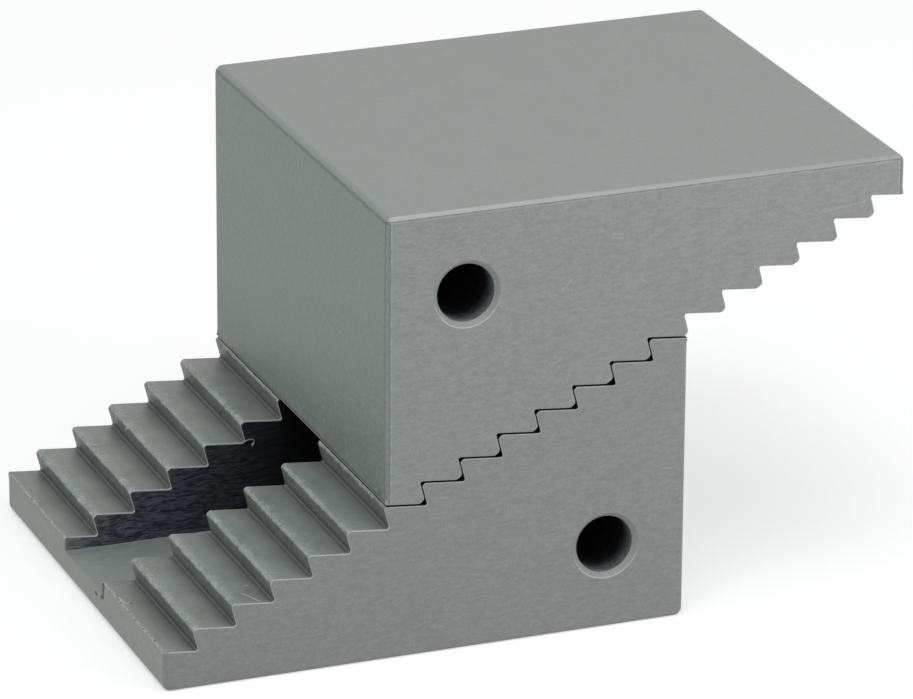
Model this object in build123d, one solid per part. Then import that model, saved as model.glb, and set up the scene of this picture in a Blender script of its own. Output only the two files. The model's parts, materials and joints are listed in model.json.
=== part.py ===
from build123d import *
import os
from math import cos, radians, sin, tan

# A pair of adjustable step blocks, as used under clamps on a machine table. Each block is one iron
# casting: a wedge with a flat base, undercut teeth up its slope, a cored pocket down the middle and
# a cross hole near its tall end. The upper block is a like casting turned over, with more ground off
# its crests. Its teeth hook into the lower block's, so the tooth in which it is put down sets the
# height of the pair.
# Lengths are millimetres and angles degrees. +X runs up the lower block's slope, Y runs across it,
# +Z is up, and the origin is the centre of the lower block's base.

# Casting
block_length = 110.5
block_width = 101.0
base_end_radius = 1.6           # along Y, where the base meets the two ends
base_side_radius = 0.9          # along X, and on up the four upright corners

# Teeth
tooth_pitch = 8.0
tooth_rise = 4.0
first_root_from_end = 7.2
first_root_height = 7.9
last_tread_least = 4.0          # the slope takes as many teeth as leave this much behind the last root
tread_tilt = 5.5                # each tread falls towards the riser behind it
riser_lean = 14.5               # each riser leans out over the tread in front of it
lower_cut_along_tread = 0.9     # a narrow land breaks each crest, wider on the upper block
lower_cut_down_riser = 0.7
upper_cut_along_tread = 1.6
upper_cut_down_riser = 1.0
crest_radius = 0.4              # on both edges of that land
root_radius = 0.4
rim_chamfer = 0.3               # where the treads and risers break through the sides and ends

# Cored pocket, open at the low end and along the slope
pocket_width = 24.3
pocket_floor = 5.5
pocket_end_wall = 28.5          # metal left between the pocket and the tall end
pocket_corner_radius = 4.0

# Cross hole for a carrying rod
cross_hole_diameter = 12.0
cross_hole_countersink = 1.0
cross_hole_from_back = 17.0
cross_hole_height = 17.7

# Seat of the upper block in the lower one
free_teeth = 6                  # teeth of each block that the other leaves bare
tread_clearance = 0.2
riser_clearance = 0.2

low_end = -block_length / 2
back = block_length / 2
tooth_count = 1 + int((block_length - first_root_from_end - last_tread_least) // tooth_pitch)

# Directions in the block's X-Z section, written as local X and Y of that plane
along_tread = Vector(cos(radians(tread_tilt)), -sin(radians(tread_tilt)))
up_riser = Vector(-sin(radians(riser_lean)), cos(radians(riser_lean)))


def root(k):
    """The corner at the foot of riser k."""
    x = low_end + first_root_from_end + (k - 1) * tooth_pitch
    z = first_root_height + (k - 1) * tooth_rise
    return Vector(x, z)


def crest(k):
    """The sharp corner where riser k would meet the tread behind it."""
    lean = tan(radians(riser_lean))
    tread_length = (tooth_pitch + tooth_rise * lean) / (along_tread.X + along_tread.Y * lean)
    return root(k + 1) - along_tread * tread_length


def on_tread(corner, x):
    """The point at x on the tread that passes through a corner."""
    return corner + along_tread * ((x - corner.X) / along_tread.X)


def section(cut_along_tread, cut_down_riser):
    """The block's outline in the X-Z plane, with its rounded corners."""
    rounded = {base_end_radius: [Vector(low_end, 0), Vector(back, 0)], root_radius: [], crest_radius: []}
    outline = [Vector(low_end, 0), on_tread(root(1), low_end)]
    for k in range(1, tooth_count + 1):
        land = [crest(k) - up_riser * cut_down_riser, crest(k) + along_tread * cut_along_tread]
        outline += [root(k), *land]
        rounded[root_radius].append(root(k))
        rounded[crest_radius] += land
    outline += [on_tread(crest(tooth_count), back), Vector(back, 0)]

    face = make_face(Polyline(*outline, close=True))
    for radius, corners in rounded.items():
        at_corners = [v for v in face.vertices() if min((v.center() - c).length for c in corners) < 1e-4]
        face = fillet(at_corners, radius)
    return Plane.XZ * face


def pocket():
    """The core that leaves the pocket: it runs out past the low end and above the last crest."""
    core_length = block_length - pocket_end_wall
    core_top = crest(tooth_count).Y
    core = Pos(low_end, 0, (pocket_floor + core_top) / 2) * Box(
        2 * core_length, pocket_width, core_top - pocket_floor)
    inner_corners = core.edges().filter_by(Axis.Z).group_by(Axis.X)[-1]
    return fillet(inner_corners, pocket_corner_radius)


def cross_hole():
    """The drill for the cross hole, with a countersink at each side of the block."""
    radius = cross_hole_diameter / 2
    drill = Cylinder(radius, block_width)
    mouth = Cone(radius, radius + cross_hole_countersink, cross_hole_countersink)
    lift = (block_width - cross_hole_countersink) / 2
    drill += Pos(0, 0, lift) * mouth
    drill += Pos(0, 0, -lift) * Rot(180, 0, 0) * mouth
    return Pos(back - cross_hole_from_back, 0, cross_hole_height) * Rot(90, 0, 0) * drill


def step_block(cut_along_tread, cut_down_riser):
    """One casting, standing on its base, with its crests broken."""
    body = extrude(section(cut_along_tread, cut_down_riser), block_width / 2, both=True)
    body = fillet(body.edges().filter_by(Axis.X).group_by(Axis.Z)[0], base_side_radius)
    low_end_rim = body.edges().filter_by(Axis.Y).group_by(Axis.X)[0].sort_by(Axis.Z)[-1]
    body = chamfer(low_end_rim, rim_chamfer)
    return body - pocket() - cross_hole()


def seat_of_upper_block():
    """Where the upper block's origin lies when its teeth hook into the lower block's."""
    mesh = root(tooth_count) + crest(free_teeth + 1)
    opening = up_riser * tread_clearance - along_tread * riser_clearance
    seat = mesh + opening / cos(radians(tread_tilt + riser_lean))
    return Pos(seat.X, 0, seat.Y)


lower_block = step_block(lower_cut_along_tread, lower_cut_down_riser)
upper_block = step_block(upper_cut_along_tread, upper_cut_down_riser)
upper_block = seat_of_upper_block() * Rot(0, 180, 0) * upper_block

os.makedirs("parts", exist_ok=True)
for name, block in {"lower_block": lower_block, "upper_block": upper_block}.items():
    export_step(block, f"parts/{name}.step")
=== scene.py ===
import json
from functools import partial
from math import cos, pi, radians, sin

import bpy
from mathutils import Matrix, Vector


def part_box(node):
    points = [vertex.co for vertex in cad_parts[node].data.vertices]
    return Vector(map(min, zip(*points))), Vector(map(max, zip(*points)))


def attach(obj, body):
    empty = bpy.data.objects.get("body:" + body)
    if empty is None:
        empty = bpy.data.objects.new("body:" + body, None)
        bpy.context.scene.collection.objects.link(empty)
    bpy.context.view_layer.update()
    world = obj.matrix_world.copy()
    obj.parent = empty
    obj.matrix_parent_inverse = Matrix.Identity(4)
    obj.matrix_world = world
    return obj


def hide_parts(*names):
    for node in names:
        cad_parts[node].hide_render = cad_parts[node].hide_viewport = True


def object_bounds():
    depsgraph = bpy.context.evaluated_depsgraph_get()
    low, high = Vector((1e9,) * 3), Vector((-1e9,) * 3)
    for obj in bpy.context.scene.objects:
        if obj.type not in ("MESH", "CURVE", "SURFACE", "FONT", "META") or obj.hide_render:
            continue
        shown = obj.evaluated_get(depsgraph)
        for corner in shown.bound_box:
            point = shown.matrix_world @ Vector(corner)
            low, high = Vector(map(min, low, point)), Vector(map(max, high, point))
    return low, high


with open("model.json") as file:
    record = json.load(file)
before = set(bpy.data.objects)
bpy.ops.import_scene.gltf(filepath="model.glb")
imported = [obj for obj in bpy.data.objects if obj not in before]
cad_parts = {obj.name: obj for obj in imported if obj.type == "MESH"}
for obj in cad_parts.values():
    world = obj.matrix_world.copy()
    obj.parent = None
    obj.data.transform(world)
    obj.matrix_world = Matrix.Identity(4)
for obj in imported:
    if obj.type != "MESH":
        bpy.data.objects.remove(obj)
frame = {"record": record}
cad_low, cad_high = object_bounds()

# ------------------------------------------------------------------------------------------------
# The two step blocks: one grey-iron casting, used twice, the second turned over on the first. Each
# has a slope of undercut teeth, a cored pocket down its middle and a cross hole drilled near its
# tall end. The teeth were ground off at their crests, and the whole was brushed with enamel.
# ------------------------------------------------------------------------------------------------
MM = 0.001
lower_low, lower_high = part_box("lower_block")
upper_low, upper_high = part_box("upper_block")
block_length = lower_high.x - lower_low.x
block_width = lower_high.y - lower_low.y
openings = {space["name"]: space["box_m"] for space in frame["record"]["physics"]["openings"]}
mounts = {mount["name"]: mount for mount in frame["record"]["mounts"]}
cross_hole = mounts["lower_cross_hole"]

teeth = 13
tread_tilt = radians(5.5)
riser_lean = radians(14.5)
tooth_step = Vector((8 * MM, 4 * MM, 0))
first_root = Vector((-block_length / 2 + 7.2 * MM, 7.9 * MM, 0))
tread_way = Vector((cos(tread_tilt), -sin(tread_tilt), 0))
riser_way = Vector((-sin(riser_lean), cos(riser_lean), 0))
overhang = -riser_way.x / riser_way.y
tread_length = (tooth_step.x + tooth_step.y * overhang) / (tread_way.x + tread_way.y * overhang)
crest = tooth_step - tread_way * tread_length
front_top = first_root + tread_way * ((-block_length / 2 - first_root.x) / tread_way.x)
last_crest = first_root + tooth_step * (teeth - 1) + crest
back_top = last_crest + tread_way * ((block_length / 2 - last_crest.x) / tread_way.x)

casting_sizes = {
    "Teeth": teeth,
    "First root": first_root,
    "Tooth step": tooth_step,
    "Crest": crest,
    "Tread way": tread_way,
    "Riser way": riser_way,
    "Ground along tread": 0.9 * MM,
    "Ground down riser": 0.7 * MM,
    "Uneven grinding": 0.2,
    "Grinding seed": 4,
    "Front top": front_top,
    "Front foot": Vector((-block_length / 2, 0, 0)),
    "Back foot": Vector((block_length / 2, 0, 0)),
    "Back top": back_top,
    "Width": block_width,
    "Root radius": 0.4 * MM,
    "Crest radius": 0.4 * MM,
    "Worn crest radius": 0.65 * MM,
    "Foot radius": 1.6 * MM,
    "Side radius": 0.9 * MM,
    "Rim radius": 0.35 * MM,
    "Point spacing": 0.9 * MM,
    "Row spacing": 0.5 * MM,
    "Pocket half width": openings["lower_pocket"][1][1] + 0.15 * MM,
    "Pocket end": openings["lower_pocket"][1][0] + 0.1 * MM,
    "Pocket floor": openings["lower_pocket"][0][2] - 0.1 * MM,
    "Pocket corner": 4 * MM,
    "Hole": Vector((cross_hole["pos_m"][0], cross_hole["pos_m"][2], 0)),
    "Hole radius": cross_hole["dims"]["r_mm"] * MM,
    "Countersink": 1 * MM,
}
more_ground = {
    "Ground along tread": 1.6 * MM,
    "Ground down riser": 1.0 * MM,
    "Grinding seed": 9,
    "Worn crest radius": 1.0 * MM,
}


def add_node(tree, kind, *feeds, items=0, **words):
    """Adds a node. A kind may end in its operation. Feeds are values or links for its inputs, in order
    or under their capitalised names with _ for a space; words in small letters are settings."""
    kind, _, operation = kind.partition(".")
    node = tree.nodes.new(kind)
    settings = {word: value for word, value in words.items() if word[0].islower()}
    for name, value in (settings | ({"operation": operation} if operation else {})).items():
        setattr(node, name, value)
    for _ in range(items):
        node.index_switch_items.new()
    named = [(word.replace("_", " "), words[word]) for word in words if word not in settings]
    for key, feed in list(enumerate(feeds)) + named:
        at = node.inputs[key] if isinstance(key, int) else next(
            s for s in node.inputs if s.name == key and s.enabled)
        for source in feed if isinstance(feed, list) else [feed]:
            if isinstance(source, bpy.types.Node):
                source = next(s for s in source.outputs if s.enabled)
            if isinstance(source, bpy.types.NodeSocket):
                tree.links.new(source, at)
            else:
                at.default_value = source
    return node


def new_tree(name, sizes):
    """A Geometry Nodes tree with an input for each size, its way to add a node, and its inputs."""
    tree = bpy.data.node_groups.new(name, "GeometryNodeTree")
    kinds = {int: "NodeSocketInt", float: "NodeSocketFloat", Vector: "NodeSocketVector",
             bpy.types.Material: "NodeSocketMaterial"}
    tree.interface.new_socket("Geometry", in_out="OUTPUT", socket_type="NodeSocketGeometry")
    tree.interface.new_socket("Geometry", in_out="INPUT", socket_type="NodeSocketGeometry")
    for label, value in sizes.items():
        tree.interface.new_socket(label, in_out="INPUT", socket_type=kinds[type(value)])
    node = partial(add_node, tree)
    return tree, node, node("NodeGroupInput").outputs


def grow(piece, tree, sizes):
    """Puts a tree on a piece as a modifier and sets its inputs by their identifiers."""
    modifier = piece.modifiers.new(tree.name, "NODES")
    modifier.node_group = tree
    for item in tree.interface.items_tree:
        if item.in_out == "INPUT" and item.name in sizes:
            modifier[item.identifier] = sizes[item.name]


def plain_mesh(piece):
    """Turns what a piece's modifiers make into its own mesh."""
    bpy.context.view_layer.update()
    graph = bpy.context.evaluated_depsgraph_get()
    mesh = bpy.data.meshes.new_from_object(piece.evaluated_get(graph), depsgraph=graph)
    piece.modifiers.clear()
    piece.data = mesh


def sweep(node, section, rows):
    """Carries a closed section along a line of rows. Each point keeps its drawn place and its row."""
    here = node("GeometryNodeInputPosition")
    rows = node("GeometryNodeStoreNamedAttribute", rows, Name="row", Value=here,
                data_type="FLOAT_VECTOR")
    section = node("GeometryNodeStoreNamedAttribute", section, Name="drawn", Value=here,
                   data_type="FLOAT_VECTOR")
    return node("GeometryNodeCurveToMesh", Curve=rows, Profile_Curve=section, Fill_Caps=True)


def through(node, points, closed):
    """A line through points in their order, each corner rounded to the point's radius."""
    index = node("GeometryNodeInputIndex")
    curve = node("GeometryNodePointsToCurves", Points=points, Weight=index)
    curve = node("GeometryNodeSetSplineCyclic", Geometry=curve, Cyclic=closed)
    radius = node("GeometryNodeInputRadius")
    return node("GeometryNodeFilletCurve", Curve=curve, Count=4, Radius=radius, Limit_Radius=True,
                mode="POLY")


def toothed_section(node, size):
    """The side view: three corners for each tooth, then six round the back, base and front."""
    index = node("GeometryNodeInputIndex")
    shoulder = (0, -1.5 * MM, 0)    # below the slope's ends, where the rim widens to the side radius
    tooth_corners = node("ShaderNodeMath.MULTIPLY", size["Teeth"], 3)
    beyond = node("ShaderNodeMath.SUBTRACT", index, tooth_corners)
    is_outer = node("ShaderNodeMath.GREATER_THAN", beyond, -0.5)
    tooth = node("FunctionNodeIntegerMath.DIVIDE_FLOOR", index, 3)
    corner = node("FunctionNodeIntegerMath.MODULO", index, 3)
    foot = node("ShaderNodeVectorMath.MULTIPLY_ADD", size["Tooth step"], tooth, size["First root"])
    least = node("ShaderNodeMath.SUBTRACT", 1.0, size["Uneven grinding"])
    most = node("ShaderNodeMath.ADD", 1.0, size["Uneven grinding"])
    share = node("FunctionNodeRandomValue", Min=least, Max=most, ID=tooth, Seed=size["Grinding seed"])
    down = node("ShaderNodeMath.MULTIPLY", share, size["Ground down riser"])
    down = node("ShaderNodeVectorMath.SCALE", size["Riser way"], Scale=down)
    riser_edge = node("ShaderNodeVectorMath.SUBTRACT", size["Crest"], down)
    along = node("ShaderNodeMath.MULTIPLY", share, size["Ground along tread"])
    along = node("ShaderNodeVectorMath.SCALE", size["Tread way"], Scale=along)
    tread_edge = node("ShaderNodeVectorMath.ADD", size["Crest"], along)
    reach = node("GeometryNodeIndexSwitch", corner, (0, 0, 0), riser_edge, tread_edge, items=1,
                 data_type="VECTOR")
    back_shoulder = node("ShaderNodeVectorMath.ADD", size["Back top"], shoulder)
    front_shoulder = node("ShaderNodeVectorMath.ADD", size["Front top"], shoulder)
    outer = node("GeometryNodeIndexSwitch", beyond, size["Back top"], back_shoulder,
                 size["Back foot"], size["Front foot"], front_shoulder, size["Front top"], items=4,
                 data_type="VECTOR")
    slope_place = node("ShaderNodeVectorMath.ADD", foot, reach)
    place = node("GeometryNodeSwitch", is_outer, slope_place, outer, input_type="VECTOR")
    outer_radius = node("GeometryNodeIndexSwitch", beyond, size["Rim radius"], 0.0,
                        size["Foot radius"], size["Foot radius"], 0.0, size["Rim radius"], items=4,
                        data_type="FLOAT")
    outer_rim = node("GeometryNodeIndexSwitch", beyond, size["Rim radius"],
                     *[size["Side radius"]] * 4, size["Rim radius"], items=4, data_type="FLOAT")
    rim = node("GeometryNodeSwitch", is_outer, size["Rim radius"], outer_rim, input_type="FLOAT")
    count = node("ShaderNodeMath.ADD", tooth_corners, 6)
    here = node("GeometryNodeInputPosition")
    lines = []
    for crest_radius in (size["Worn crest radius"], size["Crest radius"]):
        radius = node("GeometryNodeIndexSwitch", corner, size["Root radius"], crest_radius,
                      crest_radius, items=1, data_type="FLOAT")
        radius = node("GeometryNodeSwitch", is_outer, radius, outer_radius, input_type="FLOAT")
        points = node("GeometryNodePoints", Count=count, Position=place, Radius=radius)
        points = node("GeometryNodeStoreNamedAttribute", points, Name="rim", Value=rim,
                      data_type="FLOAT")
        lines.append(through(node, points, True))
    worn, section = lines

    # Written on each point: its way out of the iron, and its place and way out on the worn line.
    # Then long straight runs get points between their ends.
    outward = node("ShaderNodeVectorMath.CROSS_PRODUCT", node("GeometryNodeInputTangent"), (0, 0, -1))
    written = {"outward": outward}
    for name, value in {"worn": here, "worn_outward": outward}.items():
        written[name] = node("GeometryNodeSampleIndex", Geometry=worn, Value=value, Index=index,
                             data_type="FLOAT_VECTOR")
    for name, value in written.items():
        section = node("GeometryNodeStoreNamedAttribute", section, Name=name, Value=value,
                       data_type="FLOAT_VECTOR")
    onward = node("GeometryNodeOffsetPointInCurve", Point_Index=index, Offset=1)
    neighbour = node("GeometryNodeFieldAtIndex", Value=here, Index=onward.outputs["Point Index"],
                     data_type="FLOAT_VECTOR")
    run = node("ShaderNodeVectorMath.DISTANCE", neighbour, here).outputs["Value"]
    most_cuts = 8
    cuts = node("ShaderNodeMath.DIVIDE", run, size["Point spacing"])
    cuts = node("ShaderNodeMath.MINIMUM", cuts, most_cuts)
    return node("GeometryNodeSubdivideCurve", Curve=section, Cuts=cuts)


def rows_across(node, size, half_width, laps):
    """Where the section stands: a rounded lap at each side, close rows on the cheeks, few between."""
    clear_of_rim = 1.3 * MM
    clear_of_pocket = 0.6 * MM
    here = node("GeometryNodeInputPosition")
    turn = node("ShaderNodeMath.MULTIPLY", node("GeometryNodeInputIndex"), pi / 2 / laps)
    outer = node("ShaderNodeMath.SUBTRACT", half_width, clear_of_rim)
    beside = node("ShaderNodeMath.ADD", size["Pocket half width"], clear_of_pocket)
    lines = []
    for side in (-1, 1):
        start = node("ShaderNodeCombineXYZ", Z=node("ShaderNodeMath.MULTIPLY", half_width, side))
        lap = node("GeometryNodeMeshLine", Count=laps + 1, Start_Location=start,
                   Offset=(0, 0, side * 0.01 * MM))
        lines.append(node("GeometryNodeStoreNamedAttribute", lap, Name="lap", Value=turn,
                          data_type="FLOAT"))
        start = node("ShaderNodeCombineXYZ", Z=node("ShaderNodeMath.MULTIPLY", outer, side))
        end = node("ShaderNodeCombineXYZ", Z=node("ShaderNodeMath.MULTIPLY", beside, side))
        lines.append(node("GeometryNodeMeshLine", Start_Location=start, Offset=end,
                          Resolution=size["Row spacing"], mode="END_POINTS", count_mode="RESOLUTION"))
    inner = node("ShaderNodeMath.SUBTRACT", size["Pocket half width"], clear_of_pocket)
    start = node("ShaderNodeCombineXYZ", Z=inner)
    end = node("ShaderNodeCombineXYZ", Z=node("ShaderNodeMath.MULTIPLY", inner, -1))
    lines.append(node("GeometryNodeMeshLine", Start_Location=start, Offset=end, Count=7,
                      mode="END_POINTS", count_mode="TOTAL"))
    rows = node("GeometryNodeJoinGeometry", Geometry=lines)
    rows = node("GeometryNodeMeshToPoints", Mesh=rows)
    order = node("ShaderNodeSeparateXYZ", here).outputs["Z"]
    return node("GeometryNodePointsToCurves", Points=rows, Weight=order)


def strongest(node, *masks):
    """The strongest of some masks, each the product of its factors."""
    found = 0.0
    for first, *factors in masks:
        for factor in factors:
            first = node("ShaderNodeMath.MULTIPLY", first, factor)
        found = node("ShaderNodeMath.MAXIMUM", found, first)
    return found


def casting_tree(sizes):
    """The whole casting: its stepped section swept across, less the core and the drill."""
    tree, node, size = new_tree("stepped_casting", sizes)
    here = node("GeometryNodeInputPosition")
    half_width = node("ShaderNodeMath.MULTIPLY", size["Width"], 0.5)
    skim = 0.01 * MM

    # On the laps the section draws in along its way out, so the rims come out round. Towards the
    # pocket and the sides it turns into the section with the crests worn rounder.
    casting = sweep(node, toothed_section(node, size), rows_across(node, size, half_width, 4))
    drawn_at = node("GeometryNodeInputNamedAttribute", "drawn", data_type="FLOAT_VECTOR")
    drawn = node("ShaderNodeSeparateXYZ", drawn_at).outputs
    row = node("GeometryNodeInputNamedAttribute", "row", data_type="FLOAT_VECTOR")
    row = node("ShaderNodeSeparateXYZ", row).outputs["Z"]
    outward = node("GeometryNodeInputNamedAttribute", "outward", data_type="FLOAT_VECTOR")
    rim = node("GeometryNodeInputNamedAttribute", "rim", data_type="FLOAT")
    lap = node("GeometryNodeInputNamedAttribute", "lap", data_type="FLOAT")
    worn_at = node("GeometryNodeInputNamedAttribute", "worn", data_type="FLOAT_VECTOR")
    worn_outward = node("GeometryNodeInputNamedAttribute", "worn_outward", data_type="FLOAT_VECTOR")
    distance = node("ShaderNodeMath.ABSOLUTE", row)
    from_edge = node("ShaderNodeMath.SUBTRACT", distance, size["Pocket half width"])
    from_edge = node("ShaderNodeMath.MINIMUM", from_edge,
                     node("ShaderNodeMath.SUBTRACT", half_width, distance))
    worn = node("ShaderNodeMapRange", from_edge, 0.0, 3 * MM, 1.0, 0.0,
                interpolation_type="SMOOTHSTEP")
    drawn_at = node("ShaderNodeMix", worn, A=drawn_at, B=worn_at, data_type="VECTOR")
    outward = node("ShaderNodeMix", worn, A=outward, B=worn_outward, data_type="VECTOR")
    draw_in = node("ShaderNodeMath.SUBTRACT", 1.0, node("ShaderNodeMath.COSINE", lap))
    draw_in = node("ShaderNodeMath.MULTIPLY", draw_in, rim)
    draw_in = node("ShaderNodeVectorMath.SCALE", outward, Scale=draw_in)
    flat = node("ShaderNodeVectorMath.SUBTRACT", drawn_at, draw_in)
    flat = node("ShaderNodeSeparateXYZ", flat).outputs
    pull_back = node("ShaderNodeMath.SUBTRACT", 1.0, node("ShaderNodeMath.SINE", lap))
    pull_back = node("ShaderNodeMath.MULTIPLY", pull_back, rim)
    last_row = node("ShaderNodeMath.SUBTRACT", half_width, 0.001 * MM)
    on_lap = node("ShaderNodeMath.GREATER_THAN", distance, last_row)
    pull_back = node("ShaderNodeMath.MULTIPLY", pull_back, on_lap)
    across = node("ShaderNodeMath.MINIMUM", distance, half_width)
    across = node("ShaderNodeMath.SUBTRACT", across, pull_back)
    across = node("ShaderNodeMath.MULTIPLY", across, node("ShaderNodeMath.SIGN", row))
    place = node("ShaderNodeCombineXYZ", flat["X"], across, flat["Y"])
    casting = node("GeometryNodeSetPosition", Geometry=casting, Position=place)
    casting = node("GeometryNodeMergeByDistance", Geometry=casting, Distance=0.002 * MM)

    # The core: the pocket's plan, run up from its floor and out past the low end.
    pocket_side = size["Pocket half width"]
    mirrored = node("ShaderNodeMath.MULTIPLY", pocket_side, -1)
    outside = node("ShaderNodeMath.MULTIPLY", size["Length"], -0.6)
    corners = [node("ShaderNodeCombineXYZ", x, y) for x, y in (
        (outside, mirrored), (size["Pocket end"], mirrored),
        (size["Pocket end"], pocket_side), (outside, pocket_side))]
    index = node("GeometryNodeInputIndex")
    place = node("GeometryNodeIndexSwitch", index, *corners, items=2, data_type="VECTOR")
    radius = node("GeometryNodeIndexSwitch", index, 0.0, size["Pocket corner"],
                  size["Pocket corner"], 0.0, items=2, data_type="FLOAT")
    plan = node("GeometryNodePoints", Count=4, Position=place, Radius=radius)
    foot = node("ShaderNodeCombineXYZ", Z=size["Pocket floor"])
    head = node("ShaderNodeCombineXYZ", Z=size["Length"])
    upright = node("GeometryNodeCurvePrimitiveLine", Start=foot, End=head)
    core = sweep(node, through(node, plan, True), upright)
    place = node("ShaderNodeCombineXYZ", drawn["X"], drawn["Y"], row)
    core = node("GeometryNodeSetPosition", Geometry=core, Position=place)

    # The drill: its outline, with a countersink that flares at each side, turned about the hole.
    lip = node("ShaderNodeMath.ADD", size["Hole radius"], size["Countersink"])
    flare = node("ShaderNodeMath.ADD", lip, 2 * MM)
    beyond = node("ShaderNodeMath.ADD", half_width, 1 * MM)
    side = node("ShaderNodeMath.ADD", half_width, skim)
    lip = node("ShaderNodeMath.ADD", lip, skim)
    sunk = node("ShaderNodeMath.SUBTRACT", half_width, size["Countersink"])
    outline = [(beyond, flare), (side, flare), (side, lip), (sunk, size["Hole radius"])]
    near = [node("ShaderNodeCombineXYZ", node("ShaderNodeMath.MULTIPLY", y, -1), r)
            for y, r in outline]
    far = [node("ShaderNodeCombineXYZ", y, r) for y, r in reversed(outline)]
    softness = [0.0, 0.0, 0.35 * MM, 0.3 * MM]
    place = node("GeometryNodeIndexSwitch", index, *near, *far, items=6, data_type="VECTOR")
    radius = node("GeometryNodeIndexSwitch", index, *softness, *reversed(softness), items=6,
                  data_type="FLOAT")
    points = node("GeometryNodePoints", Count=8, Position=place, Radius=radius)
    turned = through(node, points, False)
    turned = node("GeometryNodeStoreNamedAttribute", turned, Name="turned", Value=here,
                  data_type="FLOAT_VECTOR")
    stacked = node("ShaderNodeCombineXYZ", Z=index)
    turned = node("GeometryNodeSetPosition", Geometry=turned, Position=stacked)
    circle = node("GeometryNodeCurvePrimitiveCircle", Resolution=96, Radius=1.0)
    lathe = node("GeometryNodeInputNamedAttribute", "turned", data_type="FLOAT_VECTOR")
    lathe = node("ShaderNodeSeparateXYZ", lathe).outputs
    hole = node("ShaderNodeSeparateXYZ", size["Hole"]).outputs
    place_x = node("ShaderNodeMath.MULTIPLY_ADD", lathe["Y"], drawn["X"], hole["X"])
    place_z = node("ShaderNodeMath.MULTIPLY_ADD", lathe["Y"], drawn["Y"], hole["Y"])
    place = node("ShaderNodeCombineXYZ", place_x, lathe["X"], place_z)
    drill = node("GeometryNodeSetPosition", Geometry=sweep(node, circle, turned), Position=place)
    drill = node("GeometryNodeMergeByDistance", Geometry=drill, Distance=0.002 * MM)
    drill = node("GeometryNodeFlipFaces", Mesh=drill)
    casting = node("GeometryNodeMeshBoolean", Mesh_1=casting, Mesh_2=[core, drill],
                   operation="DIFFERENCE", solver="MANIFOLD")

    # The pocket's faces are told by where they lie, and its rim is marked for the bevel that follows.
    spot = node("ShaderNodeSeparateXYZ", here).outputs
    past_end = node("ShaderNodeMath.ADD", size["Pocket end"], skim)
    past_side = node("ShaderNodeMath.ADD", pocket_side, skim)
    across = node("ShaderNodeMath.ABSOLUTE", spot["Y"])
    under_floor = node("ShaderNodeMath.SUBTRACT", size["Pocket floor"], skim)
    cored = strongest(node, (node("ShaderNodeMath.LESS_THAN", spot["X"], past_end),
                             node("ShaderNodeMath.LESS_THAN", across, past_side),
                             node("ShaderNodeMath.GREATER_THAN", spot["Z"], under_floor)))
    cored = node("GeometryNodeFieldOnDomain", cored, domain="FACE")
    rim_edge = node("ShaderNodeMath.COMPARE", cored, 0.5, 0.3)
    casting = node("GeometryNodeStoreNamedAttribute", casting, Name="bevel_weight_edge",
                   Value=rim_edge, data_type="FLOAT", domain="EDGE")
    node("NodeGroupOutput", casting)
    return tree


def linear(hex_colour):
    """An sRGB hex colour as the linear colour that a shader takes."""
    channels = [int(hex_colour[i:i + 2], 16) / 255 for i in (1, 3, 5)]
    return (*[c / 12.92 if c <= 0.04045 else ((c + 0.055) / 1.055) ** 2.4 for c in channels], 1)


def on_slope(node, at, size):
    """Where a place in the casting stands by the line through the roots: how far along, and over."""
    at = node("ShaderNodeSeparateXYZ", at).outputs
    at = node("ShaderNodeCombineXYZ", at["X"], at["Z"])
    from_root = node("ShaderNodeVectorMath.SUBTRACT", at, size["First root"])
    up_slope = node("ShaderNodeVectorMath.NORMALIZE", size["Tooth step"])
    square = node("ShaderNodeVectorMath.CROSS_PRODUCT", up_slope, (0, 0, -1))
    along = node("ShaderNodeVectorMath.DOT_PRODUCT", from_root, up_slope).outputs["Value"]
    return along, node("ShaderNodeVectorMath.DOT_PRODUCT", from_root, square).outputs["Value"]


def line_marks(node, place, marks):
    """How strong thin straight marks are, each given by its ends, half width and strength."""
    found = 0.0
    for start, end, half, strength in marks:
        start = Vector(start) * MM
        way = Vector(end) * MM - start
        from_start = node("ShaderNodeVectorMath.SUBTRACT", place, start)
        along = node("ShaderNodeVectorMath.DOT_PRODUCT", from_start, way / way.length_squared)
        along = node("ShaderNodeClamp", along.outputs["Value"])
        nearest = node("ShaderNodeVectorMath.SCALE", way, Scale=along)
        gap = node("ShaderNodeVectorMath.DISTANCE", from_start, nearest).outputs["Value"]
        mark = node("ShaderNodeMapRange", gap, half * MM / 2, half * MM, strength, 0.0)
        found = node("ShaderNodeMath.MAXIMUM", found, mark)
    return found


def told(node, name):
    """What the skin wrote on the casting under a name."""
    return node("ShaderNodeAttribute", attribute_name=name).outputs["Fac"]


def cleared(owner):
    """Empties the tree of a material or a world, and returns its way to add a node."""
    owner.use_nodes = True
    owner.node_tree.nodes.clear()
    return partial(add_node, owner.node_tree)


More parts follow.
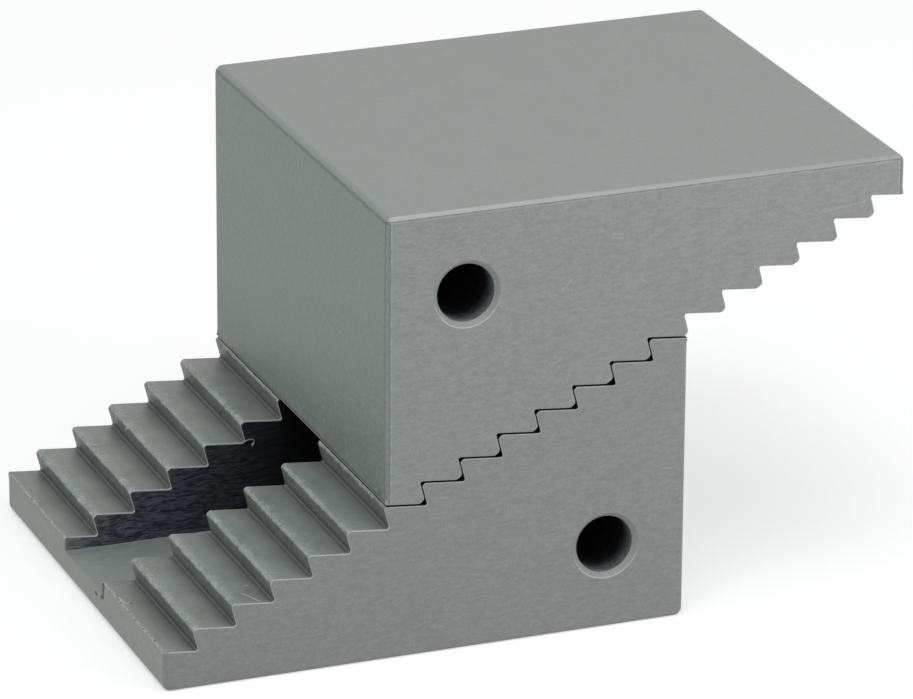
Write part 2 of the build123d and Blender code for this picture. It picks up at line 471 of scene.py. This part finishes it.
def satin_enamel():
    """Satin enamel, brushed thickly on cast iron: grey-green, with a dull sheen over orange peel. It
    stands in pale flecks along the ground crests and is rubbed pale at the rims, with a painted
    highlight there too. Painted shade darkens the roots, the risers under the teeth, the sides low down
    and the tall ends, and paints the joint black."""
    material = bpy.data.materials.new("satin_enamel")
    node = cleared(material)
    place = node("ShaderNodeTexCoord").outputs["Object"]
    in_casting = node("ShaderNodeAttribute", attribute_name="in_casting").outputs["Vector"]
    spot = node("ShaderNodeSeparateXYZ", in_casting).outputs
    along, over = on_slope(node, in_casting, casting_sizes)
    from_base = spot["Z"]
    from_mouth = node("ShaderNodeMath.ADD", spot["X"], block_length / 2)
    from_end = node("ShaderNodeMath.ABSOLUTE", spot["X"])
    from_end = node("ShaderNodeMath.SUBTRACT", block_length / 2, from_end)
    across = node("ShaderNodeMath.ABSOLUTE", spot["Y"])
    from_side = node("ShaderNodeMath.SUBTRACT", block_width / 2, across)
    from_pocket = node("ShaderNodeMath.SUBTRACT", across, casting_sizes["Pocket half width"])
    on_side = node("ShaderNodeMath.LESS_THAN", from_side, 0.12 * MM)
    on_end = node("ShaderNodeMath.LESS_THAN", from_end, 0.05 * MM)
    tall_end = node("ShaderNodeMath.GREATER_THAN", from_mouth, block_length - 0.6 * MM)
    stepped = told(node, "stepped")
    riser = told(node, "riser")
    on_upper_block = told(node, "on_upper_block")
    below = node("ShaderNodeMath.SUBTRACT", 1.0, on_upper_block)

    # The brush left longer ripples along the block, and shorter and deeper ones on its ends. The
    # enamel's own grain is finer than 0.1 mm, so it is drawn coarser, to show.
    ripple = 0.75 * MM
    cloud = 9 * MM
    drawn_grain = 0.4 * MM
    brushed = node("ShaderNodeMix", Factor=on_end, A=(0.4, 1, 1), B=(1, 0.6, 0.8), data_type="VECTOR")
    brushed = node("ShaderNodeVectorMath.MULTIPLY", place, brushed)
    peel = node("ShaderNodeTexNoise", Vector=brushed, Scale=1 / ripple, Detail=2.0, Roughness=0.5)
    clouds = node("ShaderNodeTexNoise", Vector=place, Scale=1 / cloud, Detail=3.0, Roughness=0.55)
    grain = node("ShaderNodeTexNoise", Vector=place, Scale=1 / drawn_grain, Detail=2.0, Roughness=0.6)
    tone = node("ShaderNodeMix", Factor=clouds, A=linear("#949A97"), B=linear("#9AA09D"),
                data_type="RGBA")
    speck = node("ShaderNodeMapRange", grain, 0.3, 0.7, 0.92, 1.08)
    streak = node("ShaderNodeMapRange", peel, 0.3, 0.7, -1.0, 1.0)
    streak_depth = node("ShaderNodeMapRange", on_end, 0.0, 1.0, 0.08, 0.17)
    streak = node("ShaderNodeMath.MULTIPLY_ADD", streak, streak_depth, 1.0)
    shade = node("ShaderNodeMath.MULTIPLY", speck, streak)
    colour = node("ShaderNodeVectorMath.SCALE", tone, Scale=shade)

    # Painted shade over the treads, darkest in the roots, and on the risers under the teeth. The crests
    # are paler where they were ground, partly a painted highlight, and the tone varies at random in
    # clouds.
    half_step = tooth_step.length / 2
    to_root = node("ShaderNodeMath.WRAP", along, half_step, -half_step)
    to_root = node("ShaderNodeCombineXYZ", to_root, over)
    to_root = node("ShaderNodeVectorMath.LENGTH", to_root).outputs["Value"]
    shade = node("ShaderNodeMapRange", over, 0.0, 2.8 * MM, 0.76, 1.0, interpolation_type="SMOOTHSTEP")
    for measure, start, end, first, last in (
            (to_root, 0.3 * MM, 1.4 * MM, 0.61, 1.0), (over, 3.2 * MM, 4.2 * MM, 0.87, 1.12),
            (riser, 0.0, 1.0, 1.0, 0.8), (clouds, 0.35, 0.65, 0.92, 1.08)):
        share = node("ShaderNodeMapRange", measure, start, end, first, last)
        shade = node("ShaderNodeMath.MULTIPLY", shade, share)
    shade = node("ShaderNodeMix", Factor=stepped, A=1.0, B=shade)

    # Painted shade and highlights along the upper block's long edges: a thin painted shade line where
    # the round meets the side and a painted highlight inside it, two painted shade lines up the
    # corners, and one across the tall end, which is darker with painted shade above its foot. The block
    # below is painted a touch darker all over, as painted shade. The risers are darker in patches under
    # the crests, painted shade. Of each, the first number is the share of the tone that it keeps.
    uneven = node("ShaderNodeMath.MULTIPLY_ADD", streak, 0.8 * MM, -0.8 * MM)
    edge = node("ShaderNodeMath.MINIMUM", from_end, from_base)
    edge = node("ShaderNodeMath.ADD", edge, uneven)
    top = node("ShaderNodeMath.ADD", from_base, uneven)
    corner = node("ShaderNodeMath.MAXIMUM", from_end, from_side)
    above_foot = node("ShaderNodeMath.SUBTRACT", back_top.y, from_base)
    foot_shade = node("ShaderNodeMapRange", above_foot, 2 * MM, 20 * MM, 1.0, 0.0,
                  interpolation_type="SMOOTHSTEP")
    shade_patches = node("ShaderNodeTexNoise", Vector=place, Scale=1 / (2.5 * MM), Detail=2.0)
    shade_patches = node("ShaderNodeMapRange", shade_patches, 0.46, 0.57)
    for kept, *mask in (
            (0.74, node("ShaderNodeMath.COMPARE", edge, 0.85 * MM, 0.13 * MM), on_side, on_upper_block),
            (1.16, node("ShaderNodeMath.COMPARE", edge, 1.15 * MM, 0.14 * MM), on_side, on_upper_block),
            (0.62, node("ShaderNodeMath.COMPARE", top, 1.1 * MM, 0.32 * MM), tall_end, on_upper_block),
            (0.87, node("ShaderNodeMath.COMPARE", corner, 0.65 * MM, 0.18 * MM), on_upper_block),
            (0.80, foot_shade, node("ShaderNodeMapRange", clouds, 0.35, 0.6, 0.5, 1.0), tall_end, on_upper_block),
            (0.95, below),
            (0.76, shade_patches, node("ShaderNodeMapRange", over, 1.6 * MM, 3.4 * MM), riser)):
        share = node("ShaderNodeMapRange", strongest(node, mask), 0.0, 1.0, 1.0, kept)
        shade = node("ShaderNodeMath.MULTIPLY", shade, share)
    colour = node("ShaderNodeVectorMath.SCALE", colour, Scale=shade)

    # Painted light and shade on the sides: they are lighter high up and towards the upper tip, by so
    # much a metre. The tall ends are painted darker and a touch greener, as painted shade.
    lighter_way = (0.7, 0, 1.0)
    painted_shading = node("ShaderNodeVectorMath.DOT_PRODUCT", place, lighter_way).outputs["Value"]
    painted_shading = node("ShaderNodeMath.ADD", painted_shading, 0.927)
    painted_shading = node("ShaderNodeMix", Factor=on_side, A=1.0, B=painted_shading)
    colour = node("ShaderNodeVectorMath.SCALE", colour, Scale=painted_shading)
    tall_end_shade = node("ShaderNodeMapRange", on_upper_block, 0.0, 1.0, 0.5, 1.0)
    tall_end_shade = strongest(node, (tall_end_shade, on_end, tall_end))
    tall_end_shade = node("ShaderNodeMix", Factor=tall_end_shade, A=(1, 1, 1), B=(0.82, 0.905, 0.86),
                   data_type="VECTOR")
    colour = node("ShaderNodeVectorMath.MULTIPLY", colour, tall_end_shade)

    # Pale flecks where the grinder thinned the crests, most on the low teeth and beside the pocket,
    # and dark ones where it chipped them, under them, and along the low end's edge.
    tufts = node("ShaderNodeTexNoise", Vector=place, Scale=1 / (4 * MM), Detail=1.0)
    flecks = node("ShaderNodeTexNoise", Vector=place, Scale=1 / (0.42 * MM), Detail=2.0, Roughness=0.7)
    flecks = node("ShaderNodeMath.MULTIPLY_ADD", tufts, 0.5, flecks)
    low_teeth = node("ShaderNodeMapRange", from_mouth, 0.0, 26 * MM, 0.05, 0.0)
    flecks = node("ShaderNodeMath.ADD", flecks, low_teeth)
    by_pocket = node("ShaderNodeMapRange", from_pocket, 0.0, 6 * MM, 0.06, 0.0)
    flecks = node("ShaderNodeMath.ADD", flecks, by_pocket)
    on_crest = strongest(node, (node("ShaderNodeMapRange", over, 3.85 * MM, 4.05 * MM), stepped))
    under_crest = strongest(node, (node("ShaderNodeMapRange", over, 2.3 * MM, 3.4 * MM), riser))
    low_edge = node("ShaderNodeMath.LESS_THAN", from_mouth, 0.5 * MM)
    low_edge = strongest(node, (low_edge, node("ShaderNodeMath.GREATER_THAN", over, 3.4 * MM)))
    pale_flecks = strongest(node, (node("ShaderNodeMapRange", flecks, 0.88, 0.93), on_crest))
    dark_flecks = strongest(
        node,
        (node("ShaderNodeMapRange", flecks, 0.66, 0.60, 0.0, 0.4), on_crest),
        (node("ShaderNodeMapRange", flecks, 0.72, 0.64, 0.0, 0.45), under_crest),
        (node("ShaderNodeMapRange", grain, 0.44, 0.4, 0.0, 0.6), low_edge))

    # Pale: the rims and both edges of the pocket's floor, rubbed and with a painted highlight; the
    # countersink's lip on its low side, a painted highlight; the low end's edge and the tall end's
    # foot, rubbed; and the upper block's top edges, a painted highlight, most towards its foot.
    hole_gap = node("ShaderNodeCombineXYZ", spot["X"], spot["Z"])
    hole_gap = node("ShaderNodeVectorMath.DISTANCE", hole_gap, casting_sizes["Hole"]).outputs["Value"]
    lip_radius = casting_sizes["Hole radius"] + casting_sizes["Countersink"]
    lip = node("ShaderNodeMath.COMPARE", hole_gap, lip_radius, 0.12 * MM)
    low_side = node("ShaderNodeMath.SUBTRACT", spot["Z"], casting_sizes["Hole"].y)
    which_way = node("ShaderNodeMath.SUBTRACT", on_upper_block, below)
    low_side = node("ShaderNodeMath.MULTIPLY", low_side, which_way)
    low_side = node("ShaderNodeMapRange", low_side, 0.0, 5 * MM)
    foot_line = node("ShaderNodeMath.COMPARE", above_foot, 0.3 * MM, 0.15 * MM)
    floor_edge = node("ShaderNodeMath.COMPARE", from_pocket, 0.0, 0.3 * MM)
    on_floor = node("ShaderNodeMath.COMPARE", from_base, casting_sizes["Pocket floor"], 0.05 * MM)
    top_edge = node("ShaderNodeMath.MAXIMUM", from_base, from_side)
    top_edge = node("ShaderNodeMapRange", top_edge, 0.65 * MM, 0.8 * MM, 1.0, 0.0)
    rubbed_and_highlit = strongest(
        node,
        (told(node, "on_rim"), node("ShaderNodeMapRange", grain, 0.3, 0.6, 0.5, 1.0)),
        (lip, low_side, node("ShaderNodeMath.LESS_THAN", from_side, 0.4 * MM), 0.8),
        (low_edge, node("ShaderNodeMapRange", grain, 0.45, 0.6)),
        (foot_line, tall_end, on_upper_block, 0.45),
        (floor_edge, on_floor, 0.6),
        (top_edge, node("ShaderNodeMapRange", from_mouth, 0.0, block_length, 0.25, 0.75), on_upper_block))
    scratched = line_marks(node, place, pale_scratches)
    # Near black: the faces inside the joint, as painted shade in the gap between the blocks, and the
    # dark marks.
    dark = node("ShaderNodeMath.MAXIMUM", told(node, "jointed"), line_marks(node, place, dark_marks))
    for share, tint in ((pale_flecks, "#CCD0CE"), (dark_flecks, "#303432"), (rubbed_and_highlit, "#C8CCCA"),
                        (scratched, "#C4C8C6"), (dark, "#0B0C0D")):
        colour = node("ShaderNodeMix", Factor=share, A=colour, B=linear(tint), data_type="RGBA")

    sheen = node("ShaderNodeMapRange", peel, 0.3, 0.7, 0.4, 0.55)
    relief = node("ShaderNodeMath.MULTIPLY_ADD", peel, 2.0, grain)
    relief = node("ShaderNodeMath.MULTIPLY_ADD", pale_flecks, 2.0, relief)
    bump = node("ShaderNodeBump", Height=relief, Strength=0.7, Distance=0.03 * MM)
    shader = node("ShaderNodeBsdfPrincipled", Base_Color=colour, Roughness=sheen, Normal=bump, IOR=1.5)
    node("ShaderNodeOutputMaterial", Surface=shader)
    return material


def cored_iron():
    """Bare grey iron as the sand core and the drill left it: charcoal, dull, and scored along the
    length of the pocket. Enamel has blown a little way in from the low end and into the bore, and
    painted shade blackens what lies deeper."""
    material = bpy.data.materials.new("cored_iron")
    node = cleared(material)
    place = node("ShaderNodeTexCoord").outputs["Object"]
    in_casting = node("ShaderNodeAttribute", attribute_name="in_casting").outputs["Vector"]
    spot = node("ShaderNodeSeparateXYZ", in_casting).outputs
    bored = told(node, "bored")
    from_mouth = node("ShaderNodeMath.ADD", spot["X"], block_length / 2)
    from_side = node("ShaderNodeMath.ABSOLUTE", spot["Y"])
    from_side = node("ShaderNodeMath.SUBTRACT", block_width / 2, from_side)

    score = 0.42 * MM
    score_stretch = 0.16
    wave = 6 * MM
    waves = node("ShaderNodeTexNoise", Vector=place, Scale=1 / wave, Detail=1.0)
    waves = node("ShaderNodeVectorMath.SCALE", waves.outputs["Color"], Scale=wave / 4)
    drawn_out = node("ShaderNodeVectorMath.ADD", place, waves)
    drawn_out = node("ShaderNodeVectorMath.MULTIPLY", drawn_out, (score_stretch, 1, 1))
    scores = node("ShaderNodeTexNoise", Vector=drawn_out, Scale=1 / score, Detail=3.0, Roughness=0.6)
    sharp = node("ShaderNodeMapRange", scores, 0.38, 0.62)
    colour = node("ShaderNodeMix", Factor=sharp, A=linear("#24272F"), B=linear("#646A74"),
                  data_type="RGBA")
    blown = strongest(
        node,
        (node("ShaderNodeMapRange", from_mouth, 0.5 * MM, 10 * MM, 0.9, 0.0),),
        (node("ShaderNodeMapRange", from_side, 1 * MM, 6 * MM, 1.0, 0.0), bored))
    blown = strongest(node, (blown, node("ShaderNodeMapRange", scores, 0.3, 0.6, 0.3, 1.0)))
    colour = node("ShaderNodeMix", Factor=blown, A=colour, B=linear("#8A8F8E"), data_type="RGBA")
    # Painted shade: darker deeper into the pocket and deeper into the bore.
    deep_in = node("ShaderNodeMapRange", from_mouth, 16 * MM, 48 * MM, 1.0, 0.05)
    deep_bore = node("ShaderNodeMapRange", from_side, 1 * MM, 7 * MM, 1.0, 0.1,
                     interpolation_type="SMOOTHSTEP")
    painted_shading = node("ShaderNodeMix", Factor=bored, A=deep_in, B=deep_bore)
    colour = node("ShaderNodeVectorMath.SCALE", colour, Scale=painted_shading)
    bump = node("ShaderNodeBump", Height=scores, Strength=1.0, Distance=0.12 * MM)
    shader = node("ShaderNodeBsdfPrincipled", Base_Color=colour, Roughness=0.65, Normal=bump,
                  Specular_IOR_Level=0.25)
    node("ShaderNodeOutputMaterial", Surface=shader)
    return material


# Scrapes and nicks that handling left, in millimetres: where each starts and ends, half its width
# and how strong it is. The first three dark marks are painted shade at the near corner of the pocket's
# mouth.
pale_scratches = [
    ((27.95, -50.50, 73.31), (30.30, -50.50, 75.54), 0.20, 0.35),
    ((82.85, -50.50, 82.78), (93.30, -50.50, 84.03), 0.16, 0.35),
    ((-37.21, -45.19, 16.40), (-36.25, -46.65, 16.30), 0.16, 1.0),
    ((-36.25, -46.65, 16.30), (-34.90, -49.71, 16.17), 0.22, 1.0),
    ((-35.41, -41.30, 16.22), (-34.38, -41.11, 16.12), 0.16, 1.0),
    ((-32.85, 39.64, 18.99), (-33.58, 34.65, 21.80), 0.40, 1.0),
    ((-54.56, -21.28, 8.53), (-54.59, -22.63, 8.53), 0.26, 1.0),
    ((-54.59, -22.63, 8.53), (-54.37, -24.17, 8.51), 0.26, 0.9),
    ((-54.37, -24.17, 8.51), (-53.71, -24.37, 8.44), 0.24, 0.8),
]
dark_marks = [
    ((-55.25, -12.95, 7.90), (-55.25, -12.75, 5.45), 0.85, 1.0),
    ((-55.25, -12.65, 5.45), (-55.25, -11.45, 4.70), 0.50, 1.0),
    ((-55.25, -7.99, 4.40), (-55.25, -8.69, 4.35), 0.55, 1.0),
    ((-35.65, -43.47, 16.25), (-35.28, -43.89, 16.21), 0.16, 0.8),
    ((-53.45, -24.63, 8.41), (-53.10, -24.63, 8.38), 0.26, 0.9),
    ((-16.29, 26.84, 24.82), (-16.82, 23.94, 26.89), 0.26, 0.9),
    ((-8.88, -46.50, 34.78), (-8.88, -47.20, 34.15), 0.20, 0.9),
]
skin_sizes = {
    "First root": first_root,
    "Tooth step": tooth_step,
    "Mouth of joint": tooth_step.length * 5 + 1.6 * MM,
    "On upper block": 1.0,
    "Length": block_length,
    "Width": block_width,
    "Pocket half width": casting_sizes["Pocket half width"],
    "Pocket end": casting_sizes["Pocket end"],
    "Pocket floor": casting_sizes["Pocket floor"],
    "Hole": casting_sizes["Hole"],
    "Hole radius": casting_sizes["Hole radius"],
    "Lump height": 0.22 * MM,
    "Lump length": 1.2 * MM,
    "Seed": 3.0,
    "Enamel": satin_enamel(),
    "Iron": cored_iron(),
}


def skin_tree(sizes):
    """The brushed paint's thickness: lumps and runs along the crests, and bare iron in the pocket."""
    tree, node, size = new_tree("brushed_skin", sizes)
    here = node("GeometryNodeInputPosition")
    spot = node("ShaderNodeSeparateXYZ", here).outputs
    normal = node("GeometryNodeInputNormal")
    facing = node("ShaderNodeSeparateXYZ", normal).outputs
    aside = node("ShaderNodeMath.ABSOLUTE", facing["Y"])
    level = node("ShaderNodeMath.ABSOLUTE", facing["Z"])
    along, height = on_slope(node, here, size)
    across = node("ShaderNodeMath.ABSOLUTE", spot["Y"])
    half_width = node("ShaderNodeMath.MULTIPLY", size["Width"], 0.5)
    from_side = node("ShaderNodeMath.SUBTRACT", half_width, across)
    from_pocket = node("ShaderNodeMath.SUBTRACT", across, size["Pocket half width"])
    from_rim = node("ShaderNodeMath.MINIMUM", from_side, from_pocket)
    from_mouth = node("ShaderNodeMath.MULTIPLY_ADD", size["Length"], 0.5, spot["X"])
    hole_gap = node("ShaderNodeCombineXYZ", spot["X"], spot["Z"])
    hole_gap = node("ShaderNodeVectorMath.DISTANCE", hole_gap, size["Hole"]).outputs["Value"]

    # Bare iron: the pocket's walls and the bore. Their faces are told by where they lie.
    skim = 0.02 * MM
    past_end = node("ShaderNodeMath.ADD", size["Pocket end"], skim)
    bore = node("ShaderNodeMath.ADD", size["Hole radius"], skim)
    bore = node("ShaderNodeMath.LESS_THAN", hole_gap, bore)
    off_mouth = node("ShaderNodeMath.GREATER_THAN", from_mouth, 0.3 * MM)
    bare = strongest(
        node, (bore,),
        (node("ShaderNodeMath.LESS_THAN", spot["X"], past_end),
         node("ShaderNodeMath.LESS_THAN", from_pocket, skim),
         node("ShaderNodeMath.LESS_THAN", level, 0.1),
         node("ShaderNodeMath.GREATER_THAN", spot["Z"], size["Pocket floor"]), off_mouth))
    skin = node("GeometryNodeStoreNamedAttribute", size["Geometry"], Name="bare", Value=bare,
                data_type="BOOLEAN", domain="FACE")

    # The skin only thins from the casting's own surface, so it stays within the casting's size.
    on_crest = node("ShaderNodeMapRange", height, 2.6 * MM, 3.4 * MM)
    off_rim = node("ShaderNodeMapRange", from_rim, 0.5 * MM, 1.5 * MM)
    lumps = node("ShaderNodeTexNoise", Vector=here, W=size["Seed"], Detail=2.0, noise_dimensions="4D",
                 Scale=node("ShaderNodeMath.DIVIDE", 1.0, size["Lump length"]))
    swell = node("ShaderNodeMapRange", lumps, 0.35, 0.6, -1.0, 0.0)
    for factor in (size["Lump height"], on_crest, off_rim):
        swell = node("ShaderNodeMath.MULTIPLY", swell, factor)
    push = node("ShaderNodeVectorMath.SCALE", normal, Scale=swell)
    skin = node("GeometryNodeSetPosition", Geometry=skin, Offset=push)

    # What the two materials need to know of the casting is written on it before it is seated. The
    # joint is painted black from its mouth on, as shade in the gap, but for the tall end's own face.
    # The rims are paler most beside the pocket, and the countersink a little: rubbed, with a painted
    # highlight.
    above_roots = node("ShaderNodeMath.GREATER_THAN", height, -0.5 * MM)
    stepped = strongest(node, (node("ShaderNodeMath.LESS_THAN", aside, 0.5), off_mouth,
                               node("ShaderNodeMath.GREATER_THAN", height, -0.3 * MM)))
    riser = strongest(node, (node("ShaderNodeMath.LESS_THAN", facing["X"], -0.8), stepped))
    lap_depth = node("ShaderNodeMath.MULTIPLY_ADD", level, 0.06 * MM, from_side)
    lap_edge = node("ShaderNodeMath.MULTIPLY_ADD", level, 0.45, 0.45)
    jointed = strongest(node, (
        node("ShaderNodeMath.GREATER_THAN", along, size["Mouth of joint"]),
        node("ShaderNodeMath.LESS_THAN", facing["X"], 0.7),
        node("ShaderNodeMath.GREATER_THAN", lap_depth, 0.09 * MM),
        node("ShaderNodeMath.LESS_THAN", aside, lap_edge), above_roots))
    rounded = node("ShaderNodeMath.COMPARE", aside, 0.55, 0.4)
    inner = node("ShaderNodeMath.LESS_THAN", from_pocket, from_side)
    sunk = node("ShaderNodeMath.ADD", size["Hole radius"], 1.2 * MM)
    on_rim = strongest(
        node, (node("ShaderNodeMath.LESS_THAN", hole_gap, sunk), 0.15, rounded),
        (node("ShaderNodeMath.LESS_THAN", from_rim, 0.25 * MM), above_roots,
         node("ShaderNodeMath.GREATER_THAN", from_mouth, 0.95 * MM),
         node("ShaderNodeMapRange", inner, 0.0, 1.0, 0.75, 1.0), rounded))
    skin = node("GeometryNodeStoreNamedAttribute", skin, Name="in_casting", Value=here,
                data_type="FLOAT_VECTOR")
    on_faces = {"stepped": stepped, "riser": riser, "jointed": jointed, "on_rim": on_rim, "bored": bore,
                "on_upper_block": size["On upper block"]}
    for name, value in on_faces.items():
        skin = node("GeometryNodeStoreNamedAttribute", skin, Name=name, Value=value, data_type="FLOAT",
                    domain="FACE")

    fold = node("GeometryNodeInputMeshEdgeAngle").outputs["Unsigned Angle"]
    soft = node("ShaderNodeMath.LESS_THAN", fold, radians(34))
    skin = node("GeometryNodeSetShadeSmooth", Geometry=skin, Shade_Smooth=soft, domain="EDGE")
    skin = node("GeometryNodeRealizeInstances", Geometry=skin)
    skin = node("GeometryNodeSetMaterial", Geometry=skin, Material=size["Enamel"])
    bare = node("GeometryNodeInputNamedAttribute", "bare", data_type="BOOLEAN")
    skin = node("GeometryNodeSetMaterial", Geometry=skin, Selection=bare, Material=size["Iron"])
    node("NodeGroupOutput", skin)
    return tree


casting = casting_tree(casting_sizes | {"Length": block_length})
skin = skin_tree(skin_sizes)
top_seat = Matrix.Translation((upper_low.x + block_length / 2, 0, upper_high.z))
turned_over = top_seat @ Matrix.Rotation(pi, 4, "Y")
for name, seat, own in (
        ("lower_block", Matrix.Identity(4), {"On upper block": 0.0}),
        ("upper_block", turned_over, more_ground)):
    block = bpy.data.objects.new(name + "_casting", bpy.data.meshes.new(name))
    bpy.context.scene.collection.objects.link(block)
    grow(block, casting, casting_sizes | {"Length": block_length} | own)
    rim = block.modifiers.new("pocket_rim", "BEVEL")
    rim.limit_method = "WEIGHT"
    rim.width = 0.28 * MM
    rim.segments = 3
    rim.use_clamp_overlap = False
    grow(block, skin, skin_sizes | own)
    even = block.modifiers.new("even_normals", "WEIGHTED_NORMAL")
    even.keep_sharp = True
    plain_mesh(block)
    block.data.transform(seat)
    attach(block, "root")
    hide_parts(name)

# ------------------------------------------------------------------------------------------------
# The paint curl: enamel that ran off the fifth tooth's root into the lower block's pocket, and dried
# as a thin hooked string with a drop at its tip.
# ------------------------------------------------------------------------------------------------
run_off = bpy.data.curves.new("paint_curl", "CURVE")
run_off.dimensions = "3D"
run_off.bevel_depth = 0.16 * MM
run_off.bevel_resolution = 2
run_off.use_fill_caps = True
string = run_off.splines.new("NURBS")
string.order_u = 3
string.use_endpoint_u = True
pocket_wall = casting_sizes["Pocket half width"]
bends = [(-16.7, 24.0, 0.5), (-16.0, 24.3, 0.8), (-15.2, 24.6, 0.9), (-14.3, 24.4, 0.9),
         (-14.1, 23.8, 1.0), (-14.4, 23.4, 1.9), (-14.6, 22.9, 0.9)]
string.points.add(len(bends) - 1)
for point, (x, z, thickness) in zip(string.points, bends):
    point.co = (x * MM, pocket_wall - 0.1 * MM, z * MM, 1)
    point.radius = thickness
curl = bpy.data.objects.new("paint_curl", run_off)
bpy.context.scene.collection.objects.link(curl)
bpy.context.view_layer.update()
dried = bpy.data.meshes.new_from_object(curl.evaluated_get(bpy.context.evaluated_depsgraph_get()))
bpy.data.objects.remove(curl)
dried.shade_smooth()
dried.materials.append(skin_sizes["Enamel"])
curl = bpy.data.objects.new("paint_curl", dried)
bpy.context.scene.collection.objects.link(curl)
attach(curl, "root")

# ------------------------------------------------------------------------------------------------
# Floor, lamps and camera.
# ------------------------------------------------------------------------------------------------
def seen_directly(node):
    """1 for a ray from the camera, by way of a gloss or through glass; 0 for light on the scene."""
    path = node("ShaderNodeLightPath").outputs
    mirrored = node("ShaderNodeMath.MAXIMUM", path["Is Glossy Ray"], path["Is Transmission Ray"])
    return node("ShaderNodeMath.MAXIMUM", path["Is Camera Ray"], mirrored)


paper = bpy.data.materials.new("studio_paper")
node = cleared(paper)
matt = node("ShaderNodeBsdfDiffuse", Color=linear("#E6E6E6"))
glow = node("ShaderNodeEmission", Strength=node("ShaderNodeMath.MULTIPLY", seen_directly(node), 0.5))
node("ShaderNodeOutputMaterial", Surface=node("ShaderNodeAddShader", matt, glow))
mesh = bpy.data.meshes.new("floor")
reach = 6.0
corners = [(x * reach, y * reach, 0) for x, y in ((-1, -1), (1, -1), (1, 1), (-1, 1))]
mesh.from_pydata(corners, [], [(0, 1, 2, 3)])
mesh.materials.append(paper)
mesh.transform(Matrix.Translation((0, 0, cad_low.z - 0.02 * MM)))
floor = bpy.data.objects.new("floor", mesh)
bpy.context.scene.collection.objects.link(floor)

world = bpy.data.worlds.new("studio")
node = cleared(world)
ambient = node("ShaderNodeBackground", Color=linear("#FAFFFC"), Strength=0.42)
white = node("ShaderNodeBackground", Color=linear("#FFFFFF"), Strength=1.0)
mix = node("ShaderNodeMixShader", seen_directly(node), ambient, white)
node("ShaderNodeOutputWorld", Surface=mix)
bpy.context.scene.world = world

middle = (cad_low + cad_high) / 2
lamps = {   # where each stands from the middle of the pair, its side, its power and its colour
    "high_softbox": ((-0.25, -0.5, 1.25), 0.8, 5.0, "#FFFFFF"),
    "near_softbox": ((0.4, -0.5, 0.25), 0.4, 0.95, "#FFF6FF"),
}
for name, (stand, side, power, tint) in lamps.items():
    lamp = bpy.data.lights.new(name, "AREA")
    lamp.shape = "SQUARE"
    lamp.size = side
    lamp.energy = power
    lamp.color = linear(tint)[:3]
    holder = bpy.data.objects.new(name, lamp)
    holder.location = middle + Vector(stand)
    holder.rotation_euler = Vector(stand).to_track_quat("Z", "Y").to_euler()
    bpy.context.scene.collection.objects.link(holder)

camera = bpy.data.objects.new("camera", bpy.data.cameras.new("camera"))
camera.data.lens = 251.0
camera.data.sensor_width = 36.0
camera.data.sensor_fit = "HORIZONTAL"
camera.location = (-0.41882, -1.13384, 0.50892)
azimuth, elevation, roll = radians(-21.406), radians(20.926), radians(0.383)
camera.rotation_euler = (Matrix.Rotation(azimuth, 3, "Z") @ Matrix.Rotation(pi / 2 - elevation, 3, "X")
                         @ Matrix.Rotation(roll, 3, "Z")).to_euler()
bpy.context.scene.collection.objects.link(camera)
bpy.context.scene.camera = camera
bpy.context.scene.view_settings.view_transform = "Standard"
